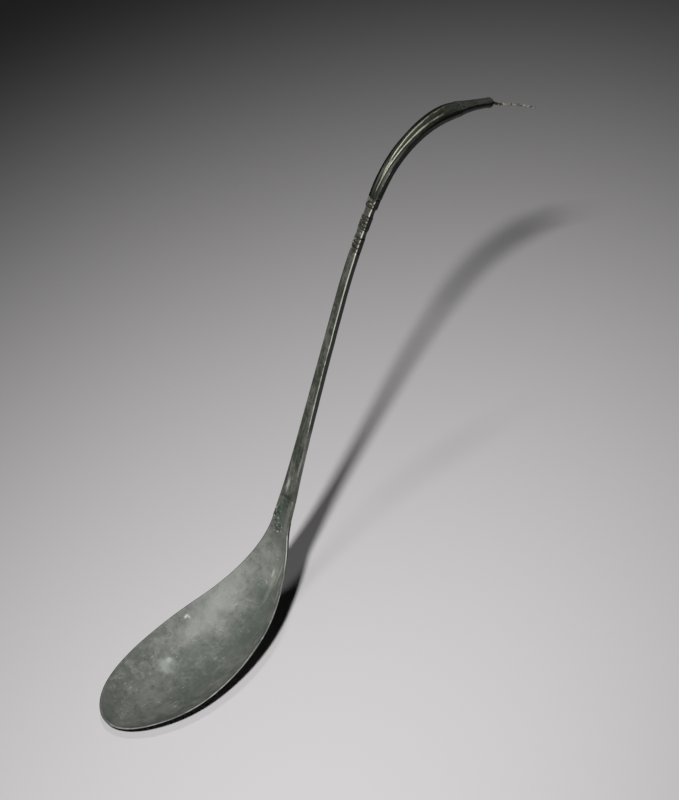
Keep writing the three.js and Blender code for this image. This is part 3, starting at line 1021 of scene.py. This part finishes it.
def make_sheath():
    """The sheath, whose thin mouth is tucked in among the strands."""
    mouth = MOUTH - SHEATH_MOUTH_LEAD
    loops = [sheath_loop(mouth, BUNDLE_MOUTH_RADIUS - SHEATH_MOUTH_SINK, 0.0)]
    for share in spread(0, 1, SHEATH_STEP):
        radius = sheath_radius(share) + SHEATH_COVER * (1 - share)
        flute = SHEATH_FLUTE * (1 - ease(share / SHEATH_FLUTE_END))
        loops.append(sheath_loop(lerp(MOUTH, SHEATH_END, share), radius, flute))
    for distance, radius in (
        (SHEATH_END, CORE_RADIUS),
        (TUCK_END + GAP, CORE_RADIUS),
        (TUCK_END + GAP, TUCK_RADIUS),
        (mouth, TUCK_RADIUS),
    ):
        loop = sheath_loop(distance, radius + BORE_GAP, 0.0)
        loops.append([(place, 0.0, 0.0) for place, _, _ in loop])
    return skin("sheath_cone", loops, joined=True)


# Shader graphs

PATCH_GRAIN = 0.7
PATCH_RAGGEDNESS = 1.6


class Value:
    """A number that varies over a surface, so that a sum on it reads as a sum."""

    def __init__(self, graph, socket):
        self.graph = graph
        self.socket = socket

    def _math(self, operation, *terms):
        node = self.graph.add("ShaderNodeMath", {"operation": operation}, dict(enumerate(terms)))
        return Value(self.graph, node.outputs[0])

    def __add__(self, other):
        return self._math("ADD", self, other)

    def __radd__(self, other):
        return self._math("ADD", other, self)

    def __sub__(self, other):
        return self._math("SUBTRACT", self, other)

    def __rsub__(self, other):
        return self._math("SUBTRACT", other, self)

    def __mul__(self, other):
        return self._math("MULTIPLY", self, other)

    def __rmul__(self, other):
        return self._math("MULTIPLY", other, self)

    def __pow__(self, other):
        return self._math("POWER", self, other)


class Graph:
    """The node tree of one material."""

    def __init__(self, name):
        self.material = bpy.data.materials.new(name)
        self.material.use_nodes = True
        self.tree = self.material.node_tree
        self.tree.nodes.clear()
        self.place = self.add("ShaderNodeAttribute", {"attribute_name": "lie"}).outputs["Vector"]

    def add(self, kind, settings=None, sockets=None):
        """A node of a kind, with its settings, and the values or links of its inputs."""
        node = self.tree.nodes.new(kind)
        for key, setting in (settings or {}).items():
            setattr(node, key, setting)
        for key, given in (sockets or {}).items():
            socket = given.socket if isinstance(given, Value) else given
            if isinstance(socket, bpy.types.NodeSocket):
                self.tree.links.new(socket, node.inputs[key])
            else:
                node.inputs[key].default_value = socket
        return node

    def noise(self, size, detail=2.0, roughness=0.5, stretch=(1, 1, 1), distortion=0.0):
        """Soft noise from 0 to 1, with features of a size in millimetres."""
        scale = [share / (size * MM) for share in stretch]
        mapping = self.add("ShaderNodeMapping", None, {"Vector": self.place, "Scale": scale})
        texture = self.add("ShaderNodeTexNoise", None, {
            "Vector": mapping.outputs[0], "Scale": 1.0, "Detail": detail,
            "Roughness": roughness, "Distortion": distortion,
        })
        return Value(self, texture.outputs["Fac"])

    def step(self, value, low, high):
        """0 below low, 1 above high, and smooth between them. Low may be above high."""
        node = self.add("ShaderNodeMapRange", {"interpolation_type": "SMOOTHSTEP"}, {
            "Value": value, "From Min": low, "From Max": high, "To Min": 0.0, "To Max": 1.0,
        })
        return Value(self, node.outputs[0])

    def attribute(self, name):
        return Value(self, self.add("ShaderNodeAttribute", {"attribute_name": name}).outputs["Fac"])

    def patch(self, distance, across, length, width):
        """1 at a place on the straightened spoon, falling raggedly to 0 at a length and a width."""
        away = self.add("ShaderNodeVectorMath", {"operation": "SUBTRACT"}, {
            0: self.place, 1: (distance * MM, across * MM, 0.0),
        })
        scaled = self.add("ShaderNodeVectorMath", {"operation": "MULTIPLY"}, {
            0: away.outputs[0], 1: (1 / (length * MM), 1 / (width * MM), 0.0),
        })
        reach = self.add("ShaderNodeVectorMath", {"operation": "LENGTH"}, {0: scaled.outputs[0]})
        edge = self.noise(min(length, width) * PATCH_GRAIN, detail=3, roughness=0.65) - 0.5
        return self.step(Value(self, reach.outputs["Value"]) + edge * PATCH_RAGGEDNESS, 1.1, 0.1)

    def mix(self, share, first, second):
        """A colour between two colours."""
        node = self.add("ShaderNodeMix", {"data_type": "RGBA"}, {0: share, 6: first, 7: second})
        return node.outputs[2]

    def bump(self, height, distance, strength):
        """A normal that shows a height. Distance is the height of 1, in millimetres."""
        return self.add("ShaderNodeBump", None, {
            "Height": height, "Distance": distance * MM, "Strength": strength,
        }).outputs[0]

    def surface(self, **sockets):
        """Ends the graph in a metal or mineral surface, and returns the material."""
        names = {key.replace("_", " "): given for key, given in sockets.items()}
        shader = self.add("ShaderNodeBsdfPrincipled", None, names)
        self.add("ShaderNodeOutputMaterial", None, {"Surface": shader.outputs[0]})
        return self.material


def colour(red, green, blue):
    """A colour from its screen (sRGB) values of 0 to 255."""
    parts = []
    for part in (red, green, blue):
        share = part / 255
        parts.append(share / 12.92 if share <= 0.04045 else ((share + 0.055) / 1.055) ** 2.4)
    return (*parts, 1.0)


# Colours of the finishes

SHEET_DARK = colour(90, 94, 88)
SHEET_PALE = colour(113, 115, 109)
SHEET_SMUDGE = colour(132, 134, 129)
SHEET_GREEN = colour(76, 83, 77)
SHEET_SPECK = colour(144, 145, 138)
SHEET_SPOT = colour(62, 67, 60)
SHEET_SCRATCH = colour(166, 169, 162)
SHEET_GLINT = colour(160, 164, 156)
SHEET_PAINTED_SHADE = colour(28, 29, 25)
LIP_BARE_AND_HIGHLIGHT = colour(206, 208, 198)
STRAP_DARK = colour(58, 61, 54)
STRAP_PALE = colour(84, 86, 79)
STRAP_SPECK = colour(118, 119, 110)
STRAP_SPOT = colour(30, 32, 26)
STREAK_PALE = colour(118, 120, 112)
STREAK_DARK = colour(36, 38, 32)
PIT_DARK = colour(26, 28, 24)
PIT_PALE = colour(178, 180, 172)
SIDE_PATINA_AND_SHADE = colour(16, 16, 13)
ARRIS_BARE_AND_HIGHLIGHT = colour(206, 206, 194)
TIP_BROWN = colour(54, 40, 32)
CRUST_DARK = colour(58, 56, 51)
CRUST_PALE = colour(168, 166, 158)
COLLAR_FLECK = colour(170, 170, 158)
RING_PATINA_AND_SHADE = colour(14, 15, 11)
RING_OLIVE = colour(58, 60, 52)
RING_BARE_AND_GLINT = colour(196, 194, 180)
CROOK_PATINA_AND_SHADE = colour(12, 13, 9)
STRAND_OLIVE = colour(44, 47, 39)
STRAND_BARE_AND_HIGHLIGHT = colour(170, 172, 154)
SHEATH_GREY = colour(66, 67, 63)
SHEATH_BARE_AND_HIGHLIGHT = colour(150, 150, 138)
SHEATH_MOUTH_GREY = colour(64, 66, 62)

# Marks on the bowl and the strap: distance, across, half length, half width, strength, colour

BOWL_MARKS = (
    (14.0, 0.0, 18.0, 18.0, 0.5, colour(76, 80, 73)),
    (56.0, -4.5, 20.0, 8.0, 0.75, colour(74, 81, 76)),
    (30.0, -6.0, 12.0, 8.0, 0.5, colour(76, 82, 76)),
    # A paler band along the left wall, partly a painted sheen.
    (59.0, 10.5, 26.0, 6.0, 0.5, colour(142, 144, 138)),
    (68.8, 0.5, 4.2, 3.2, 0.45, colour(78, 88, 84)),
    (88.0, 0.0, 8.0, 6.0, 0.6, colour(78, 82, 74)),
    (31.9, 7.8, 4.0, 3.6, 0.65, colour(156, 160, 156)),
    (34.0, 8.6, 1.4, 1.2, 0.6, colour(172, 176, 172)),
    (48.0, 13.9, 1.0, 0.45, 0.9, colour(200, 202, 196)),
    (48.7, 13.4, 0.45, 0.9, 0.8, colour(186, 188, 182)),
    (76.5, -5.2, 4.5, 0.5, 0.6, colour(158, 160, 150)),
    (70.5, -8.2, 3.6, 0.6, 0.6, colour(152, 154, 146)),
    (64.0, -11.2, 3.2, 0.7, 0.6, colour(148, 150, 142)),
    (75.4, -2.3, 1.8, 0.8, 0.7, colour(172, 176, 166)),
    (72.0, -3.6, 9.0, 1.2, 0.35, colour(146, 148, 139)),
)
STRAP_MARKS = (
    (97.0, 0.5, 9.0, 2.2, 0.9, colour(68, 84, 73)),
    (94.0, -2.3, 9.0, 1.1, 0.5, colour(120, 124, 114)),
    (102.6, 0.0, 0.9, 4.0, 0.9, colour(36, 40, 34)),
    (107.0, 0.7, 3.4, 0.8, 0.9, colour(160, 162, 156)),
    (116.0, -2.1, 6.5, 0.5, 0.6, colour(140, 142, 134)),
    (118.5, -1.0, 6.0, 1.3, 0.8, colour(38, 46, 36)),
    (199.0, 0.4, 18.0, 5.0, 0.9, colour(60, 62, 54)),
)

# Places of other marks: distance, across, half length, half width

PITS = (94.8, 3.0, 7.8, 2.7)
FOOT_PITS = (90.0, 0.6, 2.4, 2.6)
SHEATH_MOUTH = (257.0, 0.0, 11.0, 12.0)
COLLAR = (198.0, 0.0, 16.0, 8.0)


def marked(g, tone, marks):
    for distance, across, length, width, strength, patch in marks:
        tone = g.mix(g.patch(distance, across, length, width) * strength, tone, patch)
    return tone


def grains(g, size=1.5, detail=5, grain_size=0.3):
    """The two noises that every finish has: a fine mottling, and a grain finer still."""
    fine = g.noise(size, detail=detail, roughness=0.7)
    return fine, g.noise(grain_size, detail=2, roughness=0.7)


def flecks(g):
    """Small pale spots, as on the collar."""
    return g.step(g.noise(0.8, detail=3, roughness=0.7), 0.56, 0.66)


def pitted(g, tone):
    """A tone with the strap's eaten foot in it, dark cells between pale ones, and its relief."""
    pits = g.step(g.patch(*PITS) + g.patch(*FOOT_PITS), 0.1, 0.9)
    cells = g.noise(0.9, detail=3, roughness=0.7)
    tone = g.mix(pits * g.step(cells, 0.52, 0.4), tone, PIT_DARK)
    tone = g.mix(pits * g.step(cells, 0.58, 0.66), tone, PIT_PALE)
    return tone, pits * cells * 4.0


def sheet_tone(g, fine):
    """The bowl's grey-green patina."""
    clouds = g.noise(15, detail=3, distortion=0.5)
    smudges = g.noise(5, detail=3, roughness=0.6, distortion=0.8)
    tone = g.mix(g.step(clouds, 0.38, 0.62), SHEET_DARK, SHEET_PALE)
    tone = g.mix(g.step(smudges, 0.5, 0.66) * 0.45, tone, SHEET_SMUDGE)
    tone = g.mix(g.step(smudges, 0.48, 0.34) * 0.5, tone, SHEET_GREEN)
    tone = g.mix(g.step(fine, 0.54, 0.72) * 0.5, tone, SHEET_SPECK)
    return g.mix(g.step(fine, 0.46, 0.3) * 0.6, tone, SHEET_SPOT)


def strap_tone(g, fine):
    """The strap's patina, darker and more mottled than the bowl's."""
    patches = g.noise(3, detail=3, stretch=(0.5, 1, 1))
    tone = g.mix(g.step(patches, 0.4, 0.62), STRAP_DARK, STRAP_PALE)
    tone = g.mix(g.step(fine, 0.54, 0.7) * 0.5, tone, STRAP_SPECK)
    return g.mix(g.step(fine, 0.48, 0.32) * 0.7, tone, STRAP_SPOT)


def bowl_patina_and_painted_light():
    """Grey-green patina on raised sheet, with rubbed places and scratches, a thin lip worn and
    painted bright on the lit side, and painted shade on the underside.
    """
    g = Graph("bowl_patina_and_painted_light")
    fine, grain = grains(g)
    tone = marked(g, sheet_tone(g, fine), BOWL_MARKS)
    scratches = g.step(g.noise(0.35, detail=1, stretch=(0.12, 1, 1)), 0.64, 0.74)
    crossing = g.noise(0.35, detail=1, stretch=(1, 0.16, 1), distortion=0.4)
    scratches = (scratches + g.step(crossing, 0.68, 0.76)) * g.step(g.noise(5), 0.46, 0.62)
    tone = g.mix(scratches * 0.6, tone, SHEET_SCRATCH)
    specks = g.step(g.noise(1.1, detail=2, roughness=0.6, distortion=0.5), 0.68, 0.76)
    tone = g.mix(specks * 0.35, tone, SHEET_GLINT)
    # Painted shade: the underside, the lip's outer part and a line just inside the lip on the lit
    # side are painted near black.
    tone = g.mix(g.step(g.attribute("face"), 0.9, 0.1), tone, SHEET_PAINTED_SHADE)
    # The lip's bright line: bare metal, and a painted highlight on the lit side.
    edge = g.step(g.attribute("wear") + (fine - 0.5) * 0.6, 0.1, 0.95)
    tone = g.mix(edge, tone, LIP_BARE_AND_HIGHLIGHT)
    return g.surface(
        Base_Color=tone,
        Metallic=edge * 0.4,
        Roughness=0.62 + (fine - 0.5) * 0.25 - edge * 0.2,
        Normal=g.bump(fine * 0.8 + grain * 0.3, 0.05, 0.8),
    )


def solder_patina():
    """The bowl's patina at one end of the joint, and the strap's at the other."""
    g = Graph("solder_patina")
    fine, grain = grains(g)
    to_strap = g.step(g.attribute("wear") + (fine - 0.5) * 0.3, 0.35, 0.95)
    tone = g.mix(to_strap, marked(g, sheet_tone(g, fine), BOWL_MARKS), strap_tone(g, fine))
    tone, relief = pitted(g, marked(g, tone, STRAP_MARKS))
    return g.surface(
        Base_Color=tone,
        Roughness=0.6 + (fine - 0.5) * 0.25,
        Normal=g.bump(fine * 0.8 + grain * 0.3 + relief, 0.05, 0.8),
    )


def rod_patina_and_painted_light():
    """Black on the sides as patina and painted shade, thinned to grey-green on the front, bare and
    painted bright on the lit arris, and bare on the tip.
    """
    g = Graph("rod_patina_and_painted_light")
    fine, grain = grains(g, grain_size=0.25)
    streaks = g.noise(0.7, detail=2, stretch=(0.1, 1, 1))
    wear = g.attribute("wear")
    tone = marked(g, strap_tone(g, fine), STRAP_MARKS)
    tone = g.mix(g.step(streaks, 0.54, 0.66) * 0.3, tone, STREAK_PALE)
    tone = g.mix(g.step(streaks, 0.46, 0.36) * 0.4, tone, STREAK_DARK)
    tone, relief = pitted(g, tone)
    tone = g.mix(flecks(g) * g.patch(*COLLAR) * 0.5, tone, COLLAR_FLECK)
    # Sides and back painted near black: a darker patina, and painted shade.
    sides = g.step(g.attribute("face") + (fine - 0.5) * 0.5, 0.6, 0.2)
    tone = g.mix(sides, tone, SIDE_PATINA_AND_SHADE)
    # Bare metal, and a painted highlight along the lit arris.
    bare = g.step(wear + (fine - 0.5) * 0.7, 0.42, 0.75)
    tone = g.mix(bare, tone, ARRIS_BARE_AND_HIGHLIGHT)
    crust = g.mix(g.step(fine, 0.42, 0.56), CRUST_DARK, CRUST_PALE)
    tip = g.mix(g.step(wear, -1.2, -1.8), TIP_BROWN, crust)
    tone = g.mix(g.step(wear, -0.3, -0.9), tone, tip)
    return g.surface(
        Base_Color=tone,
        Metallic=bare * 0.5,
        Roughness=0.48 + (fine - 0.5) * 0.25,
        Normal=g.bump(fine * 0.8 + grain * 0.3 + relief, 0.04, 0.8),
    )


def crook_patina_and_painted_light(name, dark, front, worn, streak=0.12, flecked=0.0):
    """Olive-black as patina and painted shade, thinned on the front, with the crests worn and
    painted bright as highlights.
    """
    g = Graph(name)
    fine, grain = grains(g, size=0.9, detail=4, grain_size=0.22)
    brushed = g.noise(0.5, detail=2, stretch=(streak, 1, 1), distortion=0.6)
    # The front tone goes where the face is high; elsewhere the dark colour is patina and painted
    # shade.
    shown = g.step(g.attribute("face") + (fine - 0.5) * 0.5 + (brushed - 0.5) * 0.6, 0.35, 0.85)
    tone = g.mix(shown, dark, front)
    tone = g.mix(g.patch(*SHEATH_MOUTH) * shown * 0.9, tone, SHEATH_MOUTH_GREY)
    tone = g.mix(g.step(brushed, 0.5, 0.36) * 0.5, tone, dark)
    # Bare: worn crests, and the highlights painted on the crests and the shoulder that face the
    # lamp.
    bare = g.step(g.attribute("wear") + (fine - 0.5) * 0.7 + (brushed - 0.5) * 0.7, 0.4, 0.85)
    if flecked:
        tone = g.mix(flecks(g) * shown * flecked, tone, worn)
    tone = g.mix(bare, tone, worn)
    return g.surface(
        Base_Color=tone,
        Metallic=bare * 0.5,
        Specular_IOR_Level=0.3,
        Roughness=0.42 + (fine - 0.5) * 0.25,
        Normal=g.bump(fine * 0.6 + grain * 0.3, 0.035, 0.7),
    )


# The pieces, each in place of its plain solid

ring_material = crook_patina_and_painted_light(
    "ring_patina_and_painted_light", RING_PATINA_AND_SHADE, RING_OLIVE, RING_BARE_AND_GLINT, streak=1.0, flecked=0.45
)
strand_material = crook_patina_and_painted_light("strand_patina_and_painted_light", CROOK_PATINA_AND_SHADE, STRAND_OLIVE, STRAND_BARE_AND_HIGHLIGHT)
sheath_material = crook_patina_and_painted_light("sheath_patina_and_painted_light", CROOK_PATINA_AND_SHADE, SHEATH_GREY, SHEATH_BARE_AND_HIGHLIGHT)

finish_piece(make_bowl(), bowl_patina_and_painted_light(), "bowl_bronze", "bowl")
finish_piece(make_rod(), rod_patina_and_painted_light(), "rod_bronze", "handle_rod")
finish_piece(make_solder(), solder_patina(), "solder", "solder_bead")

for rings, start in (
    (LOWER_RINGS, COLLAR_START),
    (MIDDLE_RINGS, MIDDLE_START),
    (UPPER_RINGS, UPPER_START),
):
    for number in range(rings["count"]):
        ring = make_ring(rings, number, start)
        finish_piece(ring, ring_material, "ring_bronze", f"{rings['name']}_{number + 1}")

for number in range(STRAND_COUNT):
    finish_piece(make_strand(number), strand_material, "strand_bronze", f"strand_{number + 1}")

finish_piece(make_sheath(), sheath_material, "sheath_bronze", "end_sheath")


# Camera, floor and light

CAMERA_PLACE = Vector((-0.6182, -0.6909, 0.9025))
CAMERA_TARGET = Vector((0.1478, 0.0634, 0.0003))
LENS = 180.0
SENSOR_WIDTH = 36.0
CLIP_END = 20.0
KEY = {"name": "key", "place": Vector((-1.144, -0.813, 1.754)), "size": 0.12, "power": 55.0}
OVERHEAD = {"name": "overhead", "place": Vector((-0.17, -0.208, 2.13)), "size": 0.16, "power": 6.4}
AMBIENT = 0.005
FLOOR_REACH = 3.0
FLOOR_GRID = 8
FLOOR_CENTRE = Vector((0.035, -0.045, 0))
FLOOR_GREY = 0.817
FLOOR_BACK = -0.12
FLOOR_BACK_BACK = -3.22
FLOOR_SIDE = 0.05
FLOOR_SIDE_SIDE = -5.94
FLOOR_SIDE_BACK = 1.98
SCREEN_GAMMA = 2.2
INK = (0.0, 0.0, 0.0, 1)
PAPER = (1.0, 0.972, 0.99, 1)


def make_camera():
    data = bpy.data.cameras.new("camera")
    data.lens = LENS
    data.sensor_width = SENSOR_WIDTH
    data.clip_end = CLIP_END
    camera = bpy.data.objects.new("camera", data)
    camera.location = CAMERA_PLACE
    camera.rotation_mode = "QUATERNION"
    camera.rotation_quaternion = (CAMERA_TARGET - CAMERA_PLACE).to_track_quat("-Z", "Y")
    bpy.context.scene.collection.objects.link(camera)
    bpy.context.scene.camera = camera


def floor_material():
    """Pale paper whose grey falls away behind the spoon and to its sides, by place on the floor, as
    a painted falloff of the light.
    """
    g = Graph("floor_painted_falloff")
    place = g.add("ShaderNodeTexCoord").outputs["Object"]
    sight = CAMERA_TARGET - CAMERA_PLACE
    away = Vector((sight.x, sight.y, 0)).normalized()
    right = Vector((away.y, -away.x, 0))

    def along_floor(direction):
        node = g.add("ShaderNodeVectorMath", {"operation": "DOT_PRODUCT"}, {0: place, 1: direction})
        return Value(g, node.outputs["Value"]) - direction.dot(FLOOR_CENTRE)

    back = along_floor(away)
    side = along_floor(right)
    # Painted falloff of light: the paper darkens behind the spoon and towards the sides.
    grey = FLOOR_GREY + back * FLOOR_BACK + back * back * FLOOR_BACK_BACK
    grey = grey + side * FLOOR_SIDE + side * side * FLOOR_SIDE_SIDE + side * back * FLOOR_SIDE_BACK
    return g.surface(Base_Color=g.mix(grey ** SCREEN_GAMMA, INK, PAPER), Roughness=0.9)


def make_floor():
    mesh = bmesh.new()
    bmesh.ops.create_grid(mesh, x_segments=FLOOR_GRID, y_segments=FLOOR_GRID, size=FLOOR_REACH)
    data = bpy.data.meshes.new("floor")
    mesh.to_mesh(data)
    mesh.free()
    data.materials.append(floor_material())
    floor = bpy.data.objects.new("floor", data)
    bpy.context.scene.collection.objects.link(floor)


def make_lamp(lamp):
    data = bpy.data.lights.new(lamp["name"], "AREA")
    data.shape = "DISK"
    data.size = lamp["size"]
    data.energy = lamp["power"]
    light = bpy.data.objects.new(lamp["name"], data)
    light.location = lamp["place"]
    light.rotation_mode = "QUATERNION"
    light.rotation_quaternion = (-lamp["place"]).to_track_quat("-Z", "Y")
    bpy.context.scene.collection.objects.link(light)


def make_world():
    world = bpy.data.worlds.new("world")
    bpy.context.scene.world = world
    world.use_nodes = True
    world.node_tree.nodes["Background"].inputs[0].default_value = (AMBIENT, AMBIENT, AMBIENT, 1)


make_camera()
make_floor()
make_lamp(KEY)
make_lamp(OVERHEAD)
make_world()
bpy.context.scene.view_settings.view_transform = "Standard"
